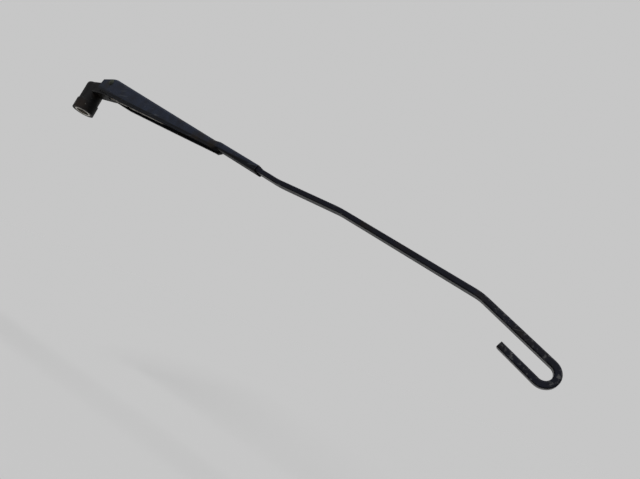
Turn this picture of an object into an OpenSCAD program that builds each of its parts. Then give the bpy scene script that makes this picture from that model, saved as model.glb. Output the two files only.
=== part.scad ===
/* [Head] */
// Height of the boss from its glass-side face to its top
boss_h = 34; // [32:0.5:38]
// Diameter of the boss above its collar
boss_d = 20; // [20:0.5:22]
// Diameter of the wider collar at the foot of the boss
collar_d = 21.8; // [21.4:0.2:28]
// Height of the collar
collar_h = 11.5; // [8:0.5:14]
// Radius that rounds the top edge of the boss
boss_round = 3.4; // [1.5:0.1:3.6]
// Diameter of the recess that holds the spindle nut
nut_recess_d = 15; // [14:0.5:15.5]
// Depth of the nut recess below the top of the boss
nut_recess_h = 8; // [6:0.5:9]
// Diameter of the clearance hole for the spindle's thread
stud_hole_d = 8.4; // [8.2:0.1:9]
// Width of the tongue that carries the pivot
tongue_w = 14; // [13:0.5:14]
// Height of the tongue where it leaves the boss
tongue_h = 11; // [9:0.5:12]
// Width of the slot that splits the tongue into two cheeks
slot_w = 4; // [3.6:0.1:5]
// Wall of the tongue around the spring's anchor pin
lug_wall = 2.4; // [2:0.1:2.6]
// Length of the stop nose ahead of the pivot
nose_l = 10; // [8:0.5:12]

/* [Spindle bush] */
// Outside diameter of the steel bush in the boss
bush_d = 16.4; // [15.5:0.1:17]
// Length of the bush
bush_h = 20; // [18:0.5:22]
// Diameter of the straight bore at the mouth of the bush
bore_d = 12; // [11:0.5:12.5]
// Length of the straight bore
bore_l = 9; // [7:0.5:10]
// Diameter at the small end of the knurled taper
taper_d = 10.4; // [9.5:0.1:10.8]

/* [Pivot] */
// Distance of the pivot from the spindle's axis
pivot_x = 36.2; // [35:0.5:42]
// Height of the pivot above the glass-side face of the boss
pivot_z = 33.6; // [32:0.2:36]
// Angle at which the arm droops when it lies on its stop
lean = 16; // [10:1:18]
// Diameter of the pivot rivet's shank
rivet_d = 5; // [4:0.5:5.5]
// Diameter of the rivet's two heads
rivet_head_d = 7.4; // [7:0.1:8.4]
// Height of each rivet head
rivet_head_h = 1.4; // [1:0.1:2]
// Radial play of the tongue on the rivet
pivot_play = 0.05; // [0.03:0.01:0.08]
// Outside diameter of the two pivot washers
washer_d = 9; // [8:0.2:9.4]
// Running gap between a washer and the tongue
washer_gap = 0.2; // [0.1:0.05:0.3]

/* [Spring] */
// Distance of the anchor pin below the pivot
anchor_drop = 9; // [8.6:0.1:9.6]
// Distance of the anchor pin behind the pivot
anchor_back = 1.5; // [1:0.1:2]
// Diameter of the anchor pin
anchor_d = 4; // [3.5:0.1:4.2]
// Thickness of the link's wire
link_wire = 2.6; // [2.2:0.1:2.8]
// Distance between the two eyes of the link
link_l = 30; // [26:1:34]
// Distance of the spring finger ahead of the pivot
finger_ahead = 96; // [90:1:104]
// Distance of the spring's front end below the pivot's level
finger_drop = 1.3; // [0.5:0.1:2]
// Outside diameter of the coil
coil_d = 9.6; // [8.6:0.2:9.8]
// Thickness of the spring's wire
spring_wire = 1.6; // [1.4:0.1:1.8]
// Number of turns in the coil
coil_turns = 28; // [20:1:30]

/* [Retainer] */
// Thickness of the retainer's sheet
sheet = 1.2; // [1:0.1:1.4]
// Outside width across the ears
ear_w = 20; // [19.5:0.1:21]
// Outside width at the front end of the channel
front_w = 13; // [12.4:0.1:14]
// Length of the channel ahead of the pivot
channel_l = 172; // [160:1:190]
// Height of the channel's top above the pivot
crown_h = 6.2; // [6:0.1:6.6]
// Distance of the crown's rear edge ahead of the pivot
crown_start = 4.2; // [4:0.1:5]
// Distance of the ears' rear edge behind the pivot
ear_back = 15; // [13:0.5:16]
// Depth of the ears below the pivot
ear_depth = 12.8; // [12:0.1:13.4]
// Outside radius of the bend between crown and walls
bend_r = 2.6; // [2:0.1:3]
// Angle by which the lower skirt of each wall leans inward
skirt_lean = 20; // [12:1:22]
// Length of the crimped sleeve
sleeve_l = 49; // [40:1:60]
// Outside width of the sleeve's seam gap
seam_w = 0.8; // [0.5:0.1:1.2]

/* [Arm bar] */
// Width of the strip
bar_w = 9; // [8.8:0.1:9.2]
// Thickness of the strip
bar_t = 4; // [3.8:0.1:4]
// Radius on the strip's long edges
bar_edge = 0.9; // [0.5:0.1:1.2]
// Length of the strip from the sleeve's end to its first bend
first_run = 20; // [15:1:30]
// Angle of the gentle rise behind the flat middle
rise = 5.5; // [3:0.5:7]
// Length of the rising run
rise_run = 51; // [40:1:60]
// Length of the flat middle run
middle_run = 101; // [80:1:110]
// Angle of the bend down towards the hook
dip = 13; // [10:0.5:15]
// Length of the run from the last bend to the hook
hook_run = 46; // [35:1:55]
// Radius of the strip's gentle bends, at its middle
sweep_r = 90; // [60:5:120]
// Radius of the bend down, at its middle
dip_r = 30; // [20:1:40]
// Clear gap between the two legs of the hook
hook_gap = 8.2; // [7.8:0.1:8.6]
// Straight length of the hook's return leg
hook_leg = 24; // [20:1:28]

/* [Hidden] */
$fn = 64;
paint = "#1b1c1f";
steel = "#8d8a85";
zinc = "#a9a59c";
// Heights and radii that follow from the head's sizes
nut_seat_z = boss_h - nut_recess_h;
eye_gap = 0.15;
eye_r = crown_h - sheet - eye_gap;
eye_flank = 45;
tongue_run = 4;
nose_cut = 2;
lug_r = anchor_d / 2 + lug_wall;
anchor_x = pivot_x - anchor_back;
anchor_z = pivot_z - anchor_drop;
stop_gap = 0.2;
through = 60;
// The spring's line, from the anchor pin to the finger
link_play = 0.05;
eye_mid_r = anchor_d / 2 + link_play + link_wire / 2;
finger_x = pivot_x + finger_ahead * cos(lean) - finger_drop * sin(lean);
finger_z = pivot_z - finger_ahead * sin(lean) - finger_drop * cos(lean);
line_l = norm([finger_x - anchor_x, finger_z - anchor_z]);
line_up = atan2(finger_z - anchor_z, finger_x - anchor_x);
coil_r = (coil_d - spring_wire) / 2;
// Steps of the spring's wire around its section and along each turn
wire_sides = 8;
turn_steps = 14;
elbow_r = 1.1;
// Finger of the retainer that holds the front of the spring
finger_w = 4;
finger_end = 4.2;
loop_inner = coil_r - spring_wire / 2;
loop_seat = sqrt(loop_inner * loop_inner - finger_w * finger_w / 4);
rear_loop_x = link_l + eye_mid_r - link_wire / 2 - spring_wire / 2 + coil_r;
front_loop_x = line_l + sheet / 2 + 0.1 - loop_seat;
// The retainer's taper starts a little ahead of the pivot
taper_start = 6;
taper = atan2((ear_w - front_w) / 2, channel_l - taper_start);
// Lower line of the walls, and the crease above the skirt
low_start = 30;
low_depth = ear_depth - 0.5;
spoon_depth = 1.6;
low_slope = atan2(low_depth - spoon_depth, channel_l - low_start);
crease_depth = ear_depth - 3.7;
crease_slope = 1.45;
skirt_r = 2.4;
ear_top = -1.2;
ear_fall = 2;
crown_lip = 0.2;
beyond = 5;
window_gap = 0.4;
finger_hook = 2.2;
foot_least = 1;
flap_less = 0.8;
flap_least = 0.3;
bend_steps = 5;
neck_steps = 10;
// The strip's middle line lies a little below the crown's outside
bar_mid = crown_h - bar_t / 2;
sleeve_start = channel_l + 8.5;
crimp_gap = 0.05;
sleeve_w = bar_w + 2 * (sheet + crimp_gap);
sleeve_h = bar_t + 2 * (sheet + crimp_gap);
sleeve_end = sleeve_start + sleeve_l;
sleeve_round = bar_edge + sheet + crimp_gap;
bar_butt = sleeve_start - 1;
hook_r = (hook_gap + bar_t) / 2;
hair = 0.02;
bend_seat = 0.3;

// Moves the children into the arm's own line, with the pivot at its origin
module on_arm() {
    translate([pivot_x, 0, pivot_z])
        rotate([0, lean, 0])
            children();
}

// Draws a side view (x, z) across the given width
module across(width) {
    rotate([90, 0, 0])
        linear_extrude(width, center = true)
            children();
}

// Draws a section (y, z) along x
module along(length) {
    rotate([90, 0, 90])
        linear_extrude(length)
            children();
}

// A round pin or hole across the arm at a place in the side view
module cross_round(x, z, r, width) {
    translate([x, 0, z])
        rotate([90, 0, 0])
            cylinder(h = width, r = r, center = true);
}

// A rectangle with rounded corners, centred
module soft_rect(width, height, r) {
    square([width - 2 * r, height], center = true);
    square([width, height - 2 * r], center = true);
    for (sx = [-1, 1])
        for (sy = [-1, 1])
            translate([sx * (width / 2 - r), sy * (height / 2 - r)])
                circle(r);
}

// Half outline of the boss, from its axis outward
module boss_outline() {
    square([collar_d / 2, collar_h]);
    square([boss_d / 2, boss_h - boss_round]);
    square([boss_d / 2 - boss_round, boss_h]);
    translate([boss_d / 2 - boss_round, boss_h - boss_round])
        circle(boss_round);
}

// Side view of the tongue: a level neck, the pivot's eye, the anchor's lug and the stop nose
module tongue_outline() {
    neck_low = boss_h - tongue_h;
    polygon([[0, neck_low], [anchor_x, anchor_z - lug_r], [anchor_x + lug_r, anchor_z],
             [pivot_x + eye_r * sin(lean), pivot_z],
             [pivot_x - eye_r * sin(eye_flank), pivot_z + eye_r * cos(eye_flank)],
             [boss_d / 2 + tongue_run, boss_h], [0, boss_h]]);
    translate([anchor_x, anchor_z])
        circle(lug_r);
    translate([pivot_x, pivot_z])
        circle(eye_r);
    translate([pivot_x, pivot_z])
        rotate(-lean)
            polygon([[0, -lug_r], [nose_l - nose_cut, -nose_cut], [nose_l, 0], [nose_l, crown_h - sheet - stop_gap],
                     [0, crown_h - sheet - stop_gap]]);
}

// Die-cast head: boss for the spindle, nut recess on top, and the forked tongue
module head() {
    color(paint)
        difference() {
            union() {
                rotate_extrude()
                    boss_outline();
                across(tongue_w)
                    tongue_outline();
            }
            translate([0, 0, -1])
                cylinder(h = bush_h + 1, d = bush_d);
            cylinder(h = boss_h, d = stud_hole_d);
            translate([0, 0, nut_seat_z])
                cylinder(h = nut_recess_h + 1, d = nut_recess_d);
            translate([anchor_x - lug_r - 1, -slot_w / 2, 0])
                cube([through, slot_w, through]);
            cross_round(pivot_x, pivot_z, rivet_d / 2 + pivot_play, through);
            cross_round(anchor_x, anchor_z, anchor_d / 2, through);
        }
}

// Bare steel bush: a straight bore at the mouth, then the taper that bites on the spindle
module spindle_bush() {
    color(steel)
        difference() {
            cylinder(h = bush_h, d = bush_d);
            translate([0, 0, -1])
                cylinder(h = bore_l + 1, d = bore_d);
            translate([0, 0, bore_l])
                cylinder(h = bush_h - bore_l, d1 = bore_d, d2 = taper_d);
            cylinder(h = bush_h + 1, d = taper_d);
        }
}

// Pin through the cheeks of the tongue that holds the link
module anchor_pin() {
    color(steel)
        cross_round(anchor_x, anchor_z, anchor_d / 2, tongue_w);
}

// Rivet that joins the ears to the tongue, with a low dome on each side
module pivot_rivet() {
    dome_r = (rivet_head_d * rivet_head_d / 4 + rivet_head_h * rivet_head_h) / (2 * rivet_head_h);
    color(steel)
        on_arm() {
            cross_round(0, 0, rivet_d / 2, ear_w);
            for (side = [0, 1])
                mirror([0, side, 0])
                    translate([0, ear_w / 2, 0])
                        rotate([-90, 0, 0])
                            intersection() {
                                translate([0, 0, rivet_head_h - dome_r])
                                    sphere(dome_r);
                                cylinder(h = rivet_head_h, d = rivet_head_d);
                            }
        }
}

// Washers that fill the space between each ear and the tongue
module pivot_washers() {
    washer_h = ear_w / 2 - sheet - tongue_w / 2 - washer_gap;
    color(zinc)
        on_arm()
            for (side = [0, 1])
                mirror([0, side, 0])
                    translate([0, ear_w / 2 - sheet, 0])
                        rotate([90, 0, 0])
                            difference() {
                                cylinder(h = washer_h, d = washer_d);
                                translate([0, 0, -1])
                                    cylinder(h = washer_h + 2, d = rivet_d);
                            }
}

// Moves the children onto the spring's line, with the anchor pin at its origin
module on_spring_line() {
    translate([anchor_x, 0, anchor_z])
        rotate([0, -line_up, 0])
            children();
}

// Open eye of the link's wire, from its foot round the far side
module link_eye(sweep) {
    rotate([90, 0, 0])
        rotate([0, 0, -90])
            rotate_extrude(angle = sweep)
                translate([eye_mid_r, 0])
                    circle(d = link_wire);
}

// Wire link bowed below the pivot, with an open eye at each end
module spring_link() {
    color(steel)
        on_spring_line() {
            link_eye(-230);
            translate([link_l, 0, 0])
                link_eye(210);
            translate([0, 0, -eye_mid_r])
                rotate([0, 90, 0])
                    cylinder(h = link_l, d = link_wire);
        }
}

function unit(v) = v / norm(v);

// One ring of the spring's wire: its centre, its outward direction and its heading
function wire_ring(c, out, heading) =
    [for (j = [0 : wire_sides - 1])
        let (a = 360 * j / wire_sides)
        c + spring_wire / 2 * (cos(a) * out + sin(a) * cross(unit(heading), out))];

// Rings of an end loop that lies flat, from one angle round to another
function loop_rings(x, from, to, steps) =
    [for (k = [0 : steps])
        let (a = from + (to - from) * k / steps)
        wire_ring([x + coil_r * cos(a), coil_r * sin(a), 0], [cos(a), sin(a), 0], [sin(a), -cos(a), 0])];

// Rings of the elbow between an end loop and the coil
function elbow_rings(x, from, to) =
    [for (k = [1 : 3])
        let (b = from + (to - from) * k / 4)
        wire_ring([x + elbow_r * sin(b), coil_r, elbow_r * (from < 0 ? cos(b) - 1 : 1 - cos(b))],
                  [0, 1, 0], [cos(b), 0, abs(sin(b))])];

// Rings of the coil itself
function coil_rings(x0, x1, start) =
    let (sweep = 360 * coil_turns - 2 * start, steps = coil_turns * turn_steps)
    [for (k = [0 : steps])
        let (a = start + sweep * k / steps)
        wire_ring([x0 + (x1 - x0) * k / steps, coil_r * cos(a), coil_r * sin(a)],
                  [0, cos(a), sin(a)], [0, -sin(a), cos(a)])];

// Tension spring with a flat loop at each end
module spring() {
    lead = asin(elbow_r / coil_r) + 12;
    x0 = rear_loop_x + elbow_r;
    x1 = front_loop_x - elbow_r;
    rings = concat(loop_rings(rear_loop_x, 285, 90, 12),
                   elbow_rings(rear_loop_x, 0, 90),
                   coil_rings(x0, x1, lead),
                   elbow_rings(front_loop_x, -90, 0),
                   loop_rings(front_loop_x, 90, -105, 12));
    color(steel)
        on_spring_line()
            loft(rings);
}

// Height of the crease above the skirt, at a distance ahead of the pivot
function crease_z(x) = -crease_depth + (x + ear_back) * tan(crease_slope);

// Height of the walls' lower line, at a distance ahead of the pivot
function low_z(x) = -low_depth + max(x - low_start, 0) * tan(low_slope) - max(low_start - x, 0) * 0.011;

// Half of the channel's outside width, at a distance ahead of the pivot
function half_w(x) = ear_w / 2 - max(x - taper_start, 0) * tan(taper);

// What shapes the sheet at one place: half width, top, top bend, foot of the wall, its bend, lean and flap
function channel_form(x) =
    let (foot = max(crease_z(x), low_z(x) + foot_least),
         flap = max((foot - low_z(x)) / cos(skirt_lean) - flap_less, flap_least))
    [half_w(x), crown_h, bend_r, foot, skirt_r, skirt_lean, flap];

// The same for the sleeve, where the flaps close under the strip
sleeve_form = [sleeve_w / 2, bar_mid + sleeve_h / 2, sleeve_round, bar_mid - bar_t / 2 + bar_edge,
               sleeve_round, 90, sleeve_w / 2 - sleeve_round - seam_w / 2];

// Form between channel and sleeve: the width and top change evenly, the foot and flaps late and fast
function neck_form(t) =
    let (even = t * t * (3 - 2 * t), late = t * t, from = channel_form(channel_l))
    [for (k = [0 : 6]) from[k] + (sleeve_form[k] - from[k]) * (k < 3 ? even : late)];

// One side of the sheet's section, on its outer face (inset 0) or its inner face, from the top down
function sheet_side(form, inset) =
    let (top = [form[0] - form[2], form[1] - form[2]], foot = [form[0] - form[4], form[3]],
         flap = form[6] * [-sin(form[5]), -cos(form[5])],
         end = foot + (form[4] - inset) * [cos(form[5]), -sin(form[5])])
    concat([for (k = [0 : bend_steps])
               let (a = 90 - 90 * k / bend_steps)
               top + (form[2] - inset) * [cos(a), sin(a)]],
           [for (k = [0 : bend_steps])
               let (a = -form[5] * k / bend_steps)
               foot + (form[4] - inset) * [cos(a), sin(a)]],
           [end + flap]);

// Closed section of the sheet: one side out and back, then the other side
function sheet_section(form) =
    let (outer = sheet_side(form, 0), inner = sheet_side(form, sheet), last = len(outer) - 1)
    concat(outer,
           [for (k = [last : -1 : 0]) inner[k]],
           [for (k = [0 : last]) [-inner[k][0], inner[k][1]]],
           [for (k = [last : -1 : 0]) [-outer[k][0], outer[k][1]]]);

// Skins a row of closed rings that all have the same count of points
module loft(rings) {
    n = len(rings[0]);
    count = len(rings);
    points = [for (ring = rings) each ring];
    sides = [for (k = [0 : count - 2], j = [0 : n - 1])
                let (a = k * n + j, b = k * n + (j + 1) % n)
                each [[a, a + n, b], [b, a + n, b + n]]];
    caps = [[for (j = [0 : n - 1]) j], [for (j = [n - 1 : -1 : 0]) (count - 1) * n + j]];
    polyhedron(points, concat(sides, caps));
}

// The pressed sheet: a row of sections from the ears to the end of the sleeve
module pressed_sheet() {
    places = [-ear_back, taper_start, low_start, 60, 90, 116, 140, channel_l];
    channel = [for (x = places) [x, channel_form(x)]];
    neck = [for (k = [1 : neck_steps]) [channel_l + (sleeve_start - channel_l) * k / neck_steps,
                                        neck_form(k / neck_steps)]];
    rows = concat(channel, neck, [[sleeve_end, sleeve_form]]);
    loft([for (row = rows) [for (p = sheet_section(row[1])) [row[0], -p[0], p[1]]]]);
}

// Side view of what is cut away above the ears, behind the crown's rear edge
module ear_cut_view() {
    polygon([[-ear_back - beyond, ear_top - ear_fall], [-ear_back, ear_top], [crown_start, crown_h - crown_lip],
             [crown_start, crown_h + beyond], [-ear_back - beyond, crown_h + beyond]]);
}

// Finger lanced from the crown and bent down, with a hooked end
module spring_finger() {
    translate([finger_ahead - sheet / 2, -finger_w / 2, -finger_drop - finger_end])
        cube([sheet, finger_w, finger_drop + finger_end + crown_h - sheet / 2]);
    translate([finger_ahead - sheet / 2, -finger_w / 2, -finger_drop - finger_end])
        cube([finger_hook * sheet, finger_w, sheet]);
}

// Window that the finger leaves in the crown
module finger_window() {
    translate([finger_ahead + sheet / 2, -finger_w / 2 - window_gap, crown_h - 2 * sheet])
        cube([finger_drop + finger_end + crown_h, finger_w + 2 * window_gap, 3 * sheet]);
}

// Pressed retainer: open channel with ears at the rear and a crimped sleeve at the front
module retainer() {
    color(paint)
        on_arm()
            difference() {
                union() {
                    pressed_sheet();
                    spring_finger();
                }
                across(through)
                    ear_cut_view();
                finger_window();
                cross_round(0, 0, rivet_d / 2, through);
            }
}

// Straight run of strip, with whatever follows at its end
module run(length) {
    along(length)
        soft_rect(bar_w, bar_t, bar_edge);
    translate([length, 0, 0])
        children();
}

// Bend of the strip, up for a positive angle, with whatever follows at its end.
// It is a hair slimmer than the straight runs and reaches a little way into both of them.
module bend(angle, r) {
    up = angle > 0 ? 1 : -1;
    seat = bend_seat / r * 180 / PI;
    mirror([0, 0, (1 - up) / 2])
        translate([0, 0, r])
            rotate([0, 90, 0])
                rotate([90, 0, 0])
                    rotate([0, 0, -seat])
                        rotate_extrude(angle = abs(angle) + 2 * seat)
                            translate([r, 0])
                                rotate(90)
                                    soft_rect(bar_w - 2 * hair, bar_t - 2 * hair, bar_edge);
    translate([r * sin(abs(angle)), 0, up * r * (1 - cos(angle))])
        rotate([0, -angle, 0])
            children();
}

// Spring-steel strip with its shallow rise, the bend down and the hook for the blade
module arm_bar() {
    color(paint)
        on_arm()
            translate([bar_butt, 0, bar_mid])
                run(sleeve_end - bar_butt + first_run)
                bend(rise, sweep_r)
                run(rise_run)
                bend(-rise, sweep_r)
                run(middle_run)
                bend(-dip, dip_r)
                run(hook_run)
                bend(-180, hook_r)
                run(hook_leg);
}

head();
spindle_bush();
anchor_pin();
spring_link();
spring();
pivot_rivet();
pivot_washers();
retainer();
arm_bar();
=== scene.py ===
import logging
import math
from dataclasses import dataclass
from enum import Enum
from typing import Callable, List, Optional, Sequence, Tuple

import bmesh
import bpy
from mathutils import Matrix, Vector


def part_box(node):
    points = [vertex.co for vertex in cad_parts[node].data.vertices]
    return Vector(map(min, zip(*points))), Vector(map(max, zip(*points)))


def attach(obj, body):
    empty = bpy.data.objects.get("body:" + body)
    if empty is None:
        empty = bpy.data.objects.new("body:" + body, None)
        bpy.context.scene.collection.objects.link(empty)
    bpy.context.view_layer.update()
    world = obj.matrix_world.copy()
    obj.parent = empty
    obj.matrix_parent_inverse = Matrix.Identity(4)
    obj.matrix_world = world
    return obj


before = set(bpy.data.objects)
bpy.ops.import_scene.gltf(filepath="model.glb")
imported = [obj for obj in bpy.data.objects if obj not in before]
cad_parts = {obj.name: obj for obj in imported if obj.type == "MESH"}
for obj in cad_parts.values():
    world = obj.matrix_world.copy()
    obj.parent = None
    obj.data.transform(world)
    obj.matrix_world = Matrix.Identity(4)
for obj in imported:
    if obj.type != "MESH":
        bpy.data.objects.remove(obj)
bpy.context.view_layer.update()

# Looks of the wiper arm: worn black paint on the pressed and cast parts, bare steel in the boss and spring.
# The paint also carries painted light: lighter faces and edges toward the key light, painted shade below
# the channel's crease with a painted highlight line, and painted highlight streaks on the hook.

LOG = logging.getLogger("wiper_arm")
WELD_REACH = 2e-6
EDGE_SAMPLES = 6
NOISE_SPAN = (0.2, 0.8)

Colour = Tuple[float, float, float, float]
Point = Tuple[float, float, float]

# Pivot's axis in metres, and how far the arm droops at rest, as in part.scad.
PIVOT: Point = (0.0362, 0.0, 0.0336)
ARM_LEAN_DEG = 16.0


@dataclass(frozen=True)
class Border:
    """A flat border across a finish, in the part's frame."""

    normal: Point
    level: float


def arm_border(slope: float, height: float) -> Border:
    """Makes a border that runs along the drooping arm.

    Args:
        slope: Rise per length along the arm.
        height: Height over the pivot's axis, at the pivot, in metres.

    Returns:
        The border.
    """
    lean = math.radians(ARM_LEAN_DEG)
    normal = Vector((math.sin(lean) - slope * math.cos(lean), 0.0, math.cos(lean) + slope * math.sin(lean)))
    return Border((normal.x, normal.y, normal.z), normal.dot(Vector(PIVOT)) + height)


@dataclass(frozen=True)
class Ramp:
    """A range that is mapped onto another one and clamped at both ends."""

    low: float
    high: float
    to_low: float = 0.0
    to_high: float = 1.0


@dataclass(frozen=True)
class Noise:
    """Cloudy noise: cells per metre, octaves, weight of the finer ones, and stretch along x, y and z."""

    scale: float
    detail: float = 3.0
    rough: float = 0.55
    stretch: Point = (1.0, 1.0, 1.0)


@dataclass(frozen=True)
class SoftEdge:
    """Rounding of a piece's edges: its width in metres, and the angle from which an edge gets it."""

    width: float
    sharp_deg: float = 35.0
    segments: int = 2


@dataclass(frozen=True)
class Sun:
    """A soft light: the direction toward it, its watts per square metre, and its apparent width."""

    name: str
    toward: Point
    strength: float
    width_deg: float


EDGE_TURN = Ramp(0.99, 0.86)


class Body(Enum):
    """Rigid body that an added piece rides on."""

    HEAD = "head"


class Slot(Enum):
    """Slot of the part's record for an added piece; no piece here is given one."""

    BARE_STEEL = "bare_steel"


class Step(Enum):
    """Arithmetic steps of the finishes."""

    ADD = "ADD"
    SUBTRACT = "SUBTRACT"
    MULTIPLY = "MULTIPLY"
    MULTIPLY_ADD = "MULTIPLY_ADD"
    MAXIMUM = "MAXIMUM"
    ABSOLUTE = "ABSOLUTE"


class NodeSheet:
    """A material's node tree, with short calls for the nodes that the finishes share."""

    def __init__(self, name: str) -> None:
        """Makes an empty material.

        Args:
            name: Name of the material.
        """
        self.material = bpy.data.materials.new(name)
        self.material.use_nodes = True
        self.tree = self.material.node_tree
        self.tree.nodes.clear()
        self.output = self.tree.nodes.new("ShaderNodeOutputMaterial")
        self.coords = self.tree.nodes.new("ShaderNodeTexCoord")

    def put(self, socket: bpy.types.NodeSocket, value: object) -> None:
        """Links or sets one input.

        Args:
            socket: The input.
            value: Another node's output, or a plain value.
        """
        if isinstance(value, bpy.types.NodeSocket):
            self.tree.links.new(value, socket)
        else:
            socket.default_value = value

    def stretched(self, scale: Point) -> bpy.types.NodeSocket:
        """Object coordinates, stretched.

        Args:
            scale: Factor along x, y and z.

        Returns:
            The stretched coordinates.
        """
        node = self.tree.nodes.new("ShaderNodeMapping")
        node.inputs["Scale"].default_value = scale
        self.put(node.inputs["Vector"], self.coords.outputs["Object"])
        return node.outputs["Vector"]

    def noise(self, pattern: Noise) -> bpy.types.NodeSocket:
        """Cloudy noise in object space.

        Args:
            pattern: Its cells, octaves and stretch.

        Returns:
            The noise, from 0 to 1.
        """
        node = self.tree.nodes.new("ShaderNodeTexNoise")
        node.inputs["Scale"].default_value = pattern.scale
        node.inputs["Detail"].default_value = pattern.detail
        node.inputs["Roughness"].default_value = pattern.rough
        self.put(node.inputs["Vector"], self.stretched(pattern.stretch))
        return node.outputs["Fac"]

    def band(self, value: object, ramp: Ramp) -> bpy.types.NodeSocket:
        """Maps a range onto another one, clamped.

        Args:
            value: What is mapped.
            ramp: The two ranges.

        Returns:
            The mapped value.
        """
        node = self.tree.nodes.new("ShaderNodeMapRange")
        node.clamp = True
        self.put(node.inputs["Value"], value)
        node.inputs["From Min"].default_value = ramp.low
        node.inputs["From Max"].default_value = ramp.high
        node.inputs["To Min"].default_value = ramp.to_low
        node.inputs["To Max"].default_value = ramp.to_high
        return node.outputs["Result"]

    def calc(self, step: Step, first: object, second: object = 0.0) -> bpy.types.NodeSocket:
        """One arithmetic step.

        Args:
            step: The step.
            first: First value.
            second: Second value, where the step takes one.

        Returns:
            The result.
        """
        node = self.tree.nodes.new("ShaderNodeMath")
        node.operation = step.value
        self.put(node.inputs[0], first)
        self.put(node.inputs[1], second)
        return node.outputs[0]

    def mix(self, factor: object, first: object, second: object) -> bpy.types.NodeSocket:
        """Mixes two colours.

        Args:
            factor: Share of the second colour.
            first: First colour.
            second: Second colour.

        Returns:
            The mixed colour.
        """
        node = self.tree.nodes.new("ShaderNodeMix")
        node.data_type = "RGBA"
        self.put(node.inputs["Factor"], factor)
        self.put(node.inputs["A"], first)
        self.put(node.inputs["B"], second)
        return node.outputs["Result"]

    def dot(self, first: object, second: object) -> bpy.types.NodeSocket:
        """Dot product of two vectors.

        Args:
            first: First vector.
            second: Second vector.

        Returns:
            The product.
        """
        node = self.tree.nodes.new("ShaderNodeVectorMath")
        node.operation = "DOT_PRODUCT"
        self.put(node.inputs[0], first)
        self.put(node.inputs[1], second)
        return node.outputs["Value"]

    def facing(self, direction: Point) -> bpy.types.NodeSocket:
        """How far the surface faces a direction of the part.

        Args:
            direction: A unit vector in the part's frame.

        Returns:
            The cosine, from -1 to 1.
        """
        return self.dot(self.coords.outputs["Normal"], direction)

    def over(self, border: Border) -> bpy.types.NodeSocket:
        """Distance of the surface over a border.

        Args:
            border: The border.

        Returns:
            The distance in metres, negative below the border.
        """
        along = self.dot(self.coords.outputs["Object"], border.normal)
        return self.calc(Step.SUBTRACT, along, border.level)

    def edges(self, radius: float) -> bpy.types.NodeSocket:
        """Where the surface turns sharply.

        Args:
            radius: Reach of the edge, in metres.

        Returns:
            0 on flat stretches, rising to 1 on an edge.
        """
        soft = self.tree.nodes.new("ShaderNodeBevel")
        soft.samples = EDGE_SAMPLES
        soft.inputs["Radius"].default_value = radius
        plain = self.tree.nodes.new("ShaderNodeNewGeometry")
        turn = self.dot(soft.outputs["Normal"], plain.outputs["True Normal"])
        return self.band(turn, EDGE_TURN)

    def bump(self, height: object, strength: float, distance: float) -> bpy.types.NodeSocket:
        """Turns a height into a surface normal.

        Args:
            height: The height.
            strength: Share of the effect.
            distance: Height of the relief, in metres.

        Returns:
            The normal.
        """
        node = self.tree.nodes.new("ShaderNodeBump")
        node.inputs["Strength"].default_value = strength
        node.inputs["Distance"].default_value = distance
        self.put(node.inputs["Height"], height)
        return node.outputs["Normal"]

    def shader(self, metallic: float, specular: float) -> bpy.types.Node:
        """The surface's shader, linked to the output.

        Args:
            metallic: 0 for paint, 1 for bare metal.
            specular: Specular level of the surface.

        Returns:
            The shader's node.
        """
        node = self.tree.nodes.new("ShaderNodeBsdfPrincipled")
        node.inputs["Metallic"].default_value = metallic
        node.inputs["Specular IOR Level"].default_value = specular
        self.put(self.output.inputs["Surface"], node.outputs["BSDF"])
        return node


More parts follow.
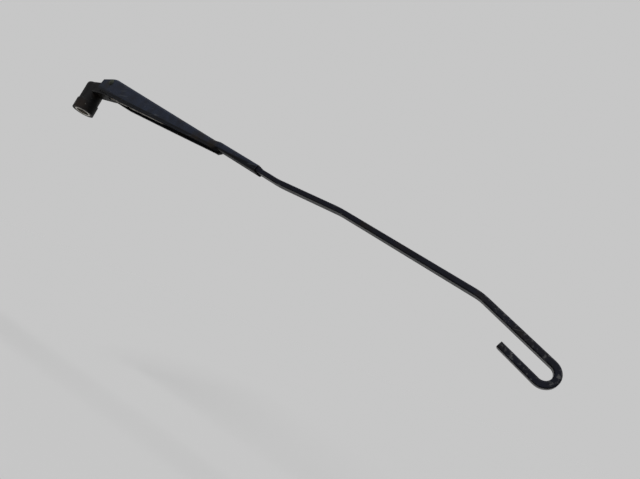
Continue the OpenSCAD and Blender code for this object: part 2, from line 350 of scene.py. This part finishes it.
@dataclass(frozen=True)
class WornPaint:
    """Black paint with a dusty film, fine scratches, and chips along the edges.

    The film is lighter on the faces that turn to the key light, partly dust and partly painted light.
    The chips along the edges keep mostly to that side, partly wear and partly painted highlights.
    Below the painted shade border the paint is darker, a painted shade, with a painted highlight line
    (the glint) in it. Past the streak border it has streaks, partly wear and partly painted highlights.
    Both borders can be left out.
    """

    name: str
    paint: Colour
    dust_and_lit_film: Colour
    chip_and_highlight: Colour
    rust: Colour
    roughness: float = 0.44
    rough_dip: float = 0.06
    rough_rise: float = 0.12
    specular: float = 0.07
    mottle: Noise = Noise(260.0, 5.0, 0.65)
    clouds: Noise = Noise(90.0, 4.0)
    # Direction of the key light: faces that turn to it get the lighter film, partly dust and partly painted
    # light.
    key_light_side: Point = (0.10, -0.83, 0.55)
    lit_side_angle: Ramp = Ramp(0.15, 0.95)
    film_patches: Ramp = Ramp(0.34, 0.62, 0.5, 1.0)
    film_speckle: Ramp = Ramp(0.3, 0.75, 0.75, 1.25)
    dust_and_lit_share: float = 0.8
    film_rough: float = 0.18
    # Painted shade: below this border the paint is darker, with a painted highlight line (glint) along the
    # crease.
    painted_shade_border: Optional[Border] = None
    painted_shade_colour: Colour = (0.003, 0.003, 0.0036, 1)
    painted_shade_step: Ramp = Ramp(-0.0004, 0.0004, 0.12, 1.0)
    glint_drop: float = 0.0022
    glint: Ramp = Ramp(0.0004, 0.0001, 0.0, 0.3)
    tint_noise: Noise = Noise(55.0)
    tint: Ramp = Ramp(0.52, 0.7, 0.0, 0.5)
    scratch_noise: Noise = Noise(900.0, 2.0, 0.5, (0.06, 1.0, 1.0))
    scratches: Ramp = Ramp(0.66, 0.72, 0.0, 0.35)
    # Past this border: streaks of chip colour, partly wear and partly painted highlights.
    wear_and_highlight_border: Optional[Border] = None
    wear_and_highlight_start: Ramp = Ramp(-0.012, 0.012, 0.0, 0.7)
    streak_noise: Noise = Noise(1300.0, 3.0, 0.6, (0.3, 1.0, 0.3))
    streaks: Ramp = Ramp(0.54, 0.68)
    edge_reach: float = 0.0007
    edge_gaps: Ramp = Ramp(0.42, 0.6)
    # Edge chips keep to edges that turn to the key light: partly wear, partly painted highlights.
    lit_edge_angle: Ramp = Ramp(-0.2, 0.6, 0.15, 1.0)
    edge_share: float = 0.5
    spot_noise: Noise = Noise(420.0, 2.0)
    spots: Ramp = Ramp(0.735, 0.76)
    fine_noise: Noise = Noise(2600.0, 2.0)
    fine_share: float = 0.3
    chip_depth: float = 0.8
    relief_share: float = 0.35
    relief_height: float = 0.00012

    def dust_and_lit_cover(self, sheet: NodeSheet, mottle: bpy.types.NodeSocket) -> bpy.types.NodeSocket:
        """Works out how much of the paint the dusty film covers.

        Args:
            sheet: The material's nodes.
            mottle: The paint's grain.

        Returns:
            The share of the dust and of the painted light, from 0 to 1.
        """
        # Painted light: faces turned to the key light get the lighter film; the noise patches and speckle
        # are dust.
        faces = sheet.band(sheet.facing(self.key_light_side), self.lit_side_angle)
        patches = sheet.band(sheet.noise(self.clouds), self.film_patches)
        dust_and_lit_film = sheet.calc(Step.MULTIPLY, sheet.calc(Step.MULTIPLY, faces, patches), self.dust_and_lit_share)
        return sheet.calc(Step.MULTIPLY, dust_and_lit_film, sheet.band(mottle, self.film_speckle))

    def with_painted_shade(self, sheet: NodeSheet, base: bpy.types.NodeSocket) -> bpy.types.NodeSocket:
        """Darkens the paint below the lip's border and draws the glint in it.

        Args:
            sheet: The material's nodes.
            base: The colour so far.

        Returns:
            The colour with the painted shade and the painted highlight line.
        """
        # Painted shade below the border, and a painted highlight line of film colour a little below it.
        over = sheet.over(self.painted_shade_border)
        base = sheet.mix(sheet.band(over, self.painted_shade_step), self.painted_shade_colour, base)
        beside = sheet.calc(Step.ABSOLUTE, sheet.calc(Step.ADD, over, self.glint_drop))
        return sheet.mix(sheet.band(beside, self.glint), base, self.dust_and_lit_film)

    def with_wear_and_highlight_streaks(self, sheet: NodeSheet, base: bpy.types.NodeSocket) -> bpy.types.NodeSocket:
        """Adds the streaks past the rubbed border.

        Args:
            sheet: The material's nodes.
            base: The colour so far.

        Returns:
            The colour with the streaks, partly wear and partly painted highlights.
        """
        # Painted highlights and wear: streaks of chip colour past the border.
        reach = sheet.band(sheet.over(self.wear_and_highlight_border), self.wear_and_highlight_start)
        streaks = sheet.band(sheet.noise(self.streak_noise), self.streaks)
        return sheet.mix(sheet.calc(Step.MULTIPLY, streaks, reach), base, self.chip_and_highlight)

    def chips_and_highlights(self, sheet: NodeSheet, mottle: bpy.types.NodeSocket) -> bpy.types.NodeSocket:
        """Finds where the paint is off, along the edges and in small spots.

        Args:
            sheet: The material's nodes.
            mottle: The paint's grain.

        Returns:
            0 on whole paint, rising to 1 where it is off; on edges facing the key light it also stands for
            painted highlights.
        """
        edge = sheet.calc(Step.MULTIPLY, sheet.edges(self.edge_reach), sheet.band(mottle, self.edge_gaps))
        # Painted highlights: the edge chips keep to the edges that turn to the key light.
        lit = sheet.band(sheet.facing(self.key_light_side), self.lit_edge_angle)
        edge = sheet.calc(Step.MULTIPLY, sheet.calc(Step.MULTIPLY, edge, lit), self.edge_share)
        return sheet.calc(Step.MAXIMUM, edge, sheet.band(sheet.noise(self.spot_noise), self.spots))

    def material(self) -> bpy.types.Material:
        """Builds the finish.

        Returns:
            The material.
        """
        sheet = NodeSheet(self.name)
        mottle = sheet.noise(self.mottle)
        dust_and_lit_film = self.dust_and_lit_cover(sheet, mottle)
        base = sheet.mix(dust_and_lit_film, self.paint, self.dust_and_lit_film)
        if self.painted_shade_border is not None:
            base = self.with_painted_shade(sheet, base)
        base = sheet.mix(sheet.band(sheet.noise(self.tint_noise), self.tint), base, self.rust)
        base = sheet.mix(sheet.band(sheet.noise(self.scratch_noise), self.scratches), base, self.chip_and_highlight)
        if self.wear_and_highlight_border is not None:
            base = self.with_wear_and_highlight_streaks(sheet, base)
        worn_and_highlit = self.chips_and_highlights(sheet, mottle)
        surface = sheet.shader(0.0, self.specular)
        sheet.put(surface.inputs["Base Color"], sheet.mix(worn_and_highlit, base, self.chip_and_highlight))
        spread = Ramp(*NOISE_SPAN, self.roughness - self.rough_dip, self.roughness + self.rough_rise)
        dust = sheet.calc(Step.MULTIPLY, dust_and_lit_film, self.film_rough)
        rough = sheet.calc(Step.ADD, sheet.band(mottle, spread), dust)
        sheet.put(surface.inputs["Roughness"], rough)
        fine = sheet.calc(Step.MULTIPLY, sheet.noise(self.fine_noise), self.fine_share)
        pits = sheet.calc(Step.MULTIPLY, worn_and_highlit, self.chip_depth)
        relief = sheet.calc(Step.SUBTRACT, sheet.calc(Step.ADD, fine, mottle), pits)
        sheet.put(surface.inputs["Normal"], sheet.bump(relief, self.relief_share, self.relief_height))
        return sheet.material


@dataclass(frozen=True)
class BareMetal:
    """Bare metal with turning marks, oil-dark patches and a little rust."""

    name: str
    bright: Colour
    dark: Colour
    rust: Colour
    roughness: float = 0.32
    rough_dip: float = 0.08
    rough_rise: float = 0.2
    specular: float = 0.5
    patch_noise: Noise = Noise(300.0, 4.0)
    patches: Ramp = Ramp(0.35, 0.7)
    mark_noise: Noise = Noise(700.0, 3.0, 0.6, (1.0, 1.0, 8.0))
    marks: Ramp = Ramp(0.3, 0.8, 0.0, 0.35)
    stain_noise: Noise = Noise(180.0)
    stains: Ramp = Ramp(0.55, 0.68)
    rust_share: float = 0.3
    relief_share: float = 0.25
    relief_height: float = 0.00008

    def material(self) -> bpy.types.Material:
        """Builds the finish.

        Returns:
            The material.
        """
        sheet = NodeSheet(self.name)
        marks = sheet.noise(self.mark_noise)
        patches = sheet.noise(self.patch_noise)
        base = sheet.mix(sheet.band(patches, self.patches), self.bright, self.dark)
        base = sheet.mix(sheet.band(marks, self.marks), base, self.dark)
        stain = sheet.band(sheet.noise(self.stain_noise), self.stains)
        base = sheet.mix(sheet.calc(Step.MULTIPLY, stain, self.rust_share), base, self.rust)
        surface = sheet.shader(1.0, self.specular)
        sheet.put(surface.inputs["Base Color"], base)
        spread = Ramp(*NOISE_SPAN, self.roughness - self.rough_dip, self.roughness + self.rough_rise)
        sheet.put(surface.inputs["Roughness"], sheet.band(patches, spread))
        sheet.put(surface.inputs["Normal"], sheet.bump(marks, self.relief_share, self.relief_height))
        return sheet.material


BLACK = WornPaint(
    "black_paint",
    paint=(0.006, 0.006, 0.0075, 1),
    # Lighter bluish tone on faces turned to the key light: dust and painted light.
    dust_and_lit_film=(0.023, 0.030, 0.050, 1),
    chip_and_highlight=(0.10, 0.105, 0.11, 1),
    rust=(0.020, 0.014, 0.006, 1),
    # Painted shade: darker paint below this line along the channel's lower side, with a painted highlight
    # line.
    painted_shade_border=arm_border(slope=0.070, height=-0.0107),
)
CASTING = WornPaint(
    "cast_paint",
    paint=(0.0055, 0.0053, 0.0052, 1),
    dust_and_lit_film=(0.012, 0.012, 0.014, 1),
    chip_and_highlight=(0.09, 0.09, 0.085, 1),
    rust=(0.026, 0.015, 0.007, 1),
    roughness=0.46,
    dust_and_lit_share=0.6,
    mottle=Noise(420.0, 5.0, 0.65),
)
BAR_BLACK = WornPaint(
    "bar_paint",
    paint=(0.0045, 0.0045, 0.006, 1),
    dust_and_lit_film=(0.010, 0.012, 0.022, 1),
    chip_and_highlight=(0.10, 0.10, 0.10, 1),
    rust=(0.014, 0.010, 0.006, 1),
    roughness=0.34,
    dust_and_lit_share=0.6,
    # Streaks on the hook past this x: partly wear, partly painted highlights.
    wear_and_highlight_border=Border((1.0, 0.0, 0.0), 0.452),
)
RIVET_BLACK = WornPaint(
    "rivet_paint",
    paint=(0.010, 0.011, 0.009, 1),
    dust_and_lit_film=(0.040, 0.046, 0.036, 1),
    chip_and_highlight=(0.16, 0.17, 0.13, 1),
    rust=(0.035, 0.028, 0.012, 1),
    roughness=0.4,
    edge_reach=0.0005,
)
STEEL = BareMetal(
    "bare_steel",
    bright=(0.56, 0.53, 0.47, 1),
    dark=(0.16, 0.15, 0.13, 1),
    rust=(0.16, 0.08, 0.035, 1),
)
SPRING_WIRE = BareMetal(
    "spring_wire",
    bright=(0.30, 0.29, 0.27, 1),
    dark=(0.07, 0.065, 0.055, 1),
    rust=(0.13, 0.06, 0.025, 1),
    roughness=0.38,
    rust_share=0.5,
    mark_noise=Noise(700.0, 3.0, 0.6, (6.0, 1.0, 1.0)),
)
BEARING = BareMetal(
    "bearing_metal",
    bright=(0.55, 0.43, 0.22, 1),
    dark=(0.20, 0.15, 0.08, 1),
    rust=(0.12, 0.08, 0.04, 1),
)


def seen_rays(tree: bpy.types.NodeTree) -> bpy.types.NodeSocket:
    """Marks the rays that show the background: in view, in reflections and through glass.

    Args:
        tree: The node tree that gets the marks.

    Returns:
        1 for such a ray, otherwise 0.
    """
    path = tree.nodes.new("ShaderNodeLightPath")
    marked = path.outputs["Is Camera Ray"]
    for ray in ("Is Glossy Ray", "Is Transmission Ray"):
        either = tree.nodes.new("ShaderNodeMath")
        either.operation = Step.MAXIMUM.value
        tree.links.new(marked, either.inputs[0])
        tree.links.new(path.outputs[ray], either.inputs[1])
        marked = either.outputs[0]
    return marked


def shade_smooth(mesh: bpy.types.Mesh) -> None:
    """Shades every face of a mesh smooth."""
    for face in mesh.polygons:
        face.use_smooth = True


def dress(node: str, material: bpy.types.Material, soft_edge: Optional[SoftEdge] = None) -> bpy.types.Object:
    """Gives a CAD node its finish, smooth shading and, where asked for, softened edges.

    Args:
        node: Name of the node.
        material: Its finish.
        soft_edge: Rounding of its sharp edges, or None where they stay as they are.

    Returns:
        The node's object.
    """
    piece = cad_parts[node]
    piece.data.materials.clear()
    piece.data.materials.append(material)
    shade_smooth(piece.data)
    weld = piece.modifiers.new("weld", "WELD")
    weld.merge_threshold = WELD_REACH
    if soft_edge is not None:
        soft = piece.modifiers.new("soft_edges", "BEVEL")
        soft.width = soft_edge.width
        soft.segments = soft_edge.segments
        soft.limit_method = "ANGLE"
        soft.angle_limit = math.radians(soft_edge.sharp_deg)
        soft.use_clamp_overlap = True
        soft.harden_normals = False
    piece.modifiers.new("normals", "WEIGHTED_NORMAL").keep_sharp = True
    LOG.info("dressed %s with %s", node, material.name)
    return piece


def make_piece(name: str, build: Callable[[bmesh.types.BMesh], None], material: bpy.types.Material,
               body: Body) -> bpy.types.Object:
    """Makes one mesh piece that rides on a body.

    Args:
        name: Name of the piece.
        build: Fills the mesh.
        material: Its finish.
        body: The body that it rides on.

    Returns:
        The new object.
    """
    mesh = bpy.data.meshes.new(name)
    work = bmesh.new()
    build(work)
    bmesh.ops.recalc_face_normals(work, faces=work.faces)
    work.to_mesh(mesh)
    work.free()
    shade_smooth(mesh)
    mesh.materials.append(material)
    piece = bpy.data.objects.new(name, mesh)
    bpy.context.scene.collection.objects.link(piece)
    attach(piece, body.value)
    LOG.info("made %s, %d faces, rides on %s", name, len(mesh.polygons), body.value)
    return piece


def add_rings(work: bmesh.types.BMesh, rings: Sequence[Sequence[Vector]], closed: bool = False) -> None:
    """Skins a row of rings and caps its ends.

    Args:
        work: The mesh that gets the skin.
        rings: Rings of points, all with the same count.
        closed: True where the last ring joins the first.
    """
    rows = [[work.verts.new(p) for p in ring] for ring in rings]
    count = len(rows[0])
    pairs = list(zip(rows, rows[1:]))
    if closed:
        pairs.append((rows[-1], rows[0]))
    for low, high in pairs:
        for k in range(count):
            work.faces.new((low[k], low[(k + 1) % count], high[(k + 1) % count], high[k]))
    if not closed:
        work.faces.new(list(reversed(rows[0])))
        work.faces.new(rows[-1])


@dataclass
class Head:
    """Cast boss and tongue with the bare bush that seats on the spindle. Sizes are in metres."""

    casting: WornPaint = CASTING
    steel: BareMetal = STEEL
    cast_edge: SoftEdge = SoftEdge(0.0006)
    turned_edge: SoftEdge = SoftEdge(0.0002)
    straight_bore_l: float = 0.009
    bore_r: float = 0.006
    taper_r: float = 0.0052
    teeth: int = 40
    tooth_depth: float = 0.00035
    recess_r: float = 0.0075
    recess_depth: float = 0.008
    stud_r: float = 0.0042
    boss_h: float = 0.034
    tooth_share: float = 0.62
    tooth_sink: float = 0.0001
    tooth_start: float = 0.0004
    tooth_end: float = 0.0003
    mark_inset: float = 0.0006
    mark_edge: float = 0.0003
    mark_height: float = 0.00012
    mark_steps: int = 64

    def knurl(self, work: bmesh.types.BMesh) -> None:
        """Adds the fine teeth of the taper.

        Args:
            work: The mesh that gets the teeth.
        """
        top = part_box("spindle_bush")[1].z
        half = math.pi / self.teeth * self.tooth_share
        ends = ((self.straight_bore_l + self.tooth_start, self.bore_r), (top - self.tooth_end, self.taper_r))
        for k in range(self.teeth):
            a = 2 * math.pi * k / self.teeth
            rings = []
            for z, r in ends:
                foot = r + self.tooth_sink
                corners = [(foot, a - half), (r - self.tooth_depth, a), (foot, a + half)]
                rings.append([Vector((q * math.cos(b), q * math.sin(b), z)) for q, b in corners])
            add_rings(work, rings)

    def seat_marks(self, work: bmesh.types.BMesh) -> None:
        """Adds the ring that the nut's washer has pressed into its seat.

        Args:
            work: The mesh that gets the ring.
        """
        seat = self.boss_h - self.recess_depth
        inner = self.stud_r + self.mark_inset
        outer = self.recess_r - self.mark_inset - self.mark_edge
        rings = []
        for k in range(self.mark_steps):
            a = 2 * math.pi * k / self.mark_steps
            ring = [(inner, 0.0), (inner + self.mark_edge, self.mark_height),
                    (outer - self.mark_edge, self.mark_height), (outer, 0.0)]
            rings.append([Vector((q * math.cos(a), q * math.sin(a), seat + h)) for q, h in ring])
        add_rings(work, rings, closed=True)

    def build(self) -> List[bpy.types.Object]:
        """Dresses the head's nodes and adds the knurl and the seat's ring.

        Returns:
            The pieces of the head.
        """
        steel = self.steel.material()
        return [
            dress("head", self.casting.material(), self.cast_edge),
            dress("spindle_bush", steel, self.turned_edge),
            dress("anchor_pin", steel, self.turned_edge),
            make_piece("taper_knurl", self.knurl, steel, Body.HEAD),
            make_piece("nut_seat_mark", self.seat_marks, steel, Body.HEAD),
        ]


@dataclass
class Pivot:
    """Rivet and washers that carry the fold."""

    rivet: WornPaint = RIVET_BLACK
    washers: BareMetal = BEARING
    rivet_edge: SoftEdge = SoftEdge(0.0002)
    washer_edge: SoftEdge = SoftEdge(0.0001)

    def build(self) -> List[bpy.types.Object]:
        """Dresses the rivet and the washers.

        Returns:
            The pieces of the pivot.
        """
        return [
            dress("pivot_rivet", self.rivet.material(), self.rivet_edge),
            dress("pivot_washers", self.washers.material(), self.washer_edge),
        ]


@dataclass
class SpringSet:
    """Tension spring and its bowed link, whose edges stay as they are."""

    wire: BareMetal = SPRING_WIRE

    def build(self) -> List[bpy.types.Object]:
        """Dresses the spring and the link.

        Returns:
            The pieces of the spring set.
        """
        wire = self.wire.material()
        return [dress("spring", wire), dress("spring_link", wire)]


@dataclass
class Retainer:
    """Pressed channel and the sleeve crimped round the strip."""

    finish: WornPaint = BLACK
    pressed_edge: SoftEdge = SoftEdge(0.00025, 30.0)

    def build(self) -> List[bpy.types.Object]:
        """Dresses the retainer.

        Returns:
            The pieces of the retainer.
        """
        return [dress("retainer", self.finish.material(), self.pressed_edge)]


@dataclass
class ArmBar:
    """Strip with the hook for the blade."""

    finish: WornPaint = BAR_BLACK

    def build(self) -> List[bpy.types.Object]:
        """Dresses the strip.

        Returns:
            The pieces of the bar.
        """
        return [dress("arm_bar", self.finish.material())]


@dataclass
class Studio:
    """Camera, lights and floor."""

    camera_at: Point = (0.4773, -0.2604, -0.1356)
    ahead: Point = (-0.4718, 0.8520, 0.2268)
    upward: Point = (-0.2379, -0.3710, 0.8973)
    focal_px: float = 440.0
    image_w_px: float = 640.0
    sensor_w: float = 36.0
    floor_z: float = -0.26
    floor_half: float = 30.0
    pale: float = 0.57
    sky: float = 0.30
    bounce_tone: float = 0.16
    floor_noise: Noise = Noise(6.0)
    floor_spread: float = 0.005
    clip: Tuple[float, float] = (0.01, 60.0)
    suns: Tuple[Sun, ...] = (
        Sun("key", (0.10, -0.80, 0.60), 1.8, 24.0),
        Sun("rim", (0.55, -0.30, 0.78), 0.6, 12.0),
        Sun("back", (-0.30, 0.75, 0.60), 0.5, 30.0),
    )

    def camera(self) -> bpy.types.Object:
        """Places the camera at the photograph's viewing angle.

        Returns:
            The camera.
        """
        data = bpy.data.cameras.new("camera")
        data.sensor_width = self.sensor_w
        data.lens = self.focal_px / self.image_w_px * self.sensor_w
        data.clip_start, data.clip_end = self.clip
        ahead = Vector(self.ahead).normalized()
        right = ahead.cross(Vector(self.upward)).normalized()
        up = right.cross(ahead)
        place = Matrix.Identity(4)
        for row in range(3):
            place[row][0] = right[row]
            place[row][1] = up[row]
            place[row][2] = -ahead[row]
            place[row][3] = self.camera_at[row]
        camera = bpy.data.objects.new("camera", data)
        camera.matrix_world = place
        bpy.context.scene.collection.objects.link(camera)
        bpy.context.scene.camera = camera
        return camera

    def light(self, sun: Sun) -> bpy.types.Object:
        """Adds one soft light that falls evenly on the arm and the floor.

        Args:
            sun: Its direction, strength and width.

        Returns:
            The light.
        """
        data = bpy.data.lights.new(sun.name, "SUN")
        data.energy = sun.strength
        data.angle = math.radians(sun.width_deg)
        light = bpy.data.objects.new(sun.name, data)
        light.rotation_mode = "QUATERNION"
        light.rotation_quaternion = (-Vector(sun.toward).normalized()).to_track_quat("-Z", "Y")
        bpy.context.scene.collection.objects.link(light)
        return light

    def floor_tone(self) -> float:
        """Works out the tone that leaves the lit floor as pale as the surround.

        Returns:
            The floor's base tone.
        """
        lit = sum(sun.strength * Vector(sun.toward).normalized().z for sun in self.suns)
        return self.pale / (self.sky + lit / math.pi)

    def world(self) -> None:
        """Makes the surround: plain and pale in view and in reflections."""
        world = bpy.data.worlds.new("studio")
        world.use_nodes = True
        tree = world.node_tree
        tree.nodes.clear()
        out = tree.nodes.new("ShaderNodeOutputWorld")
        surround = tree.nodes.new("ShaderNodeBackground")
        surround.inputs["Color"].default_value = (1, 1, 1, 1)
        level = tree.nodes.new("ShaderNodeMath")
        level.operation = Step.MULTIPLY_ADD.value
        tree.links.new(seen_rays(tree), level.inputs[0])
        level.inputs[1].default_value = self.pale - self.sky
        level.inputs[2].default_value = self.sky
        tree.links.new(level.outputs[0], surround.inputs["Strength"])
        tree.links.new(surround.outputs[0], out.inputs["Surface"])
        bpy.context.scene.world = world

    def floor(self) -> bpy.types.Object:
        """Lays a plain pale floor under the arm.

        Returns:
            The floor.
        """
        sheet = NodeSheet("pale_floor")
        surface = sheet.shader(0.0, 0.0)
        tone = self.floor_tone()
        dark, pale = (tone * (1 - self.floor_spread), tone * (1 + self.floor_spread))
        seen = sheet.mix(sheet.noise(self.floor_noise), (dark, dark, dark, 1), (pale, pale, pale, 1))
        bounce = (self.bounce_tone, self.bounce_tone, self.bounce_tone, 1)
        sheet.put(surface.inputs["Base Color"], sheet.mix(seen_rays(sheet.tree), bounce, seen))
        surface.inputs["Roughness"].default_value = 1.0
        half = self.floor_half
        mesh = bpy.data.meshes.new("floor")
        corners = [(-half, -half), (half, -half), (half, half), (-half, half)]
        mesh.from_pydata([(x, y, self.floor_z) for x, y in corners], [], [(0, 1, 2, 3)])
        mesh.materials.append(sheet.material)
        floor = bpy.data.objects.new("floor", mesh)
        bpy.context.scene.collection.objects.link(floor)
        return floor

    def build(self) -> None:
        """Sets the camera, the floor and the light."""
        self.camera()
        self.world()
        self.floor()
        for sun in self.suns:
            self.light(sun)
        bpy.context.scene.view_settings.view_transform = "Standard"
        LOG.info("studio is set")


def main() -> None:
    """Builds the sub-assemblies in order and reports each piece."""
    logging.basicConfig(level=logging.INFO, format="%(name)s: %(message)s")
    Studio().build()
    for part in (Head(), Pivot(), SpringSet(), Retainer(), ArmBar()):
        pieces = part.build()
        LOG.info("%s: %s", type(part).__name__, ", ".join(piece.name for piece in pieces))


if __name__ == "__main__":
    main()
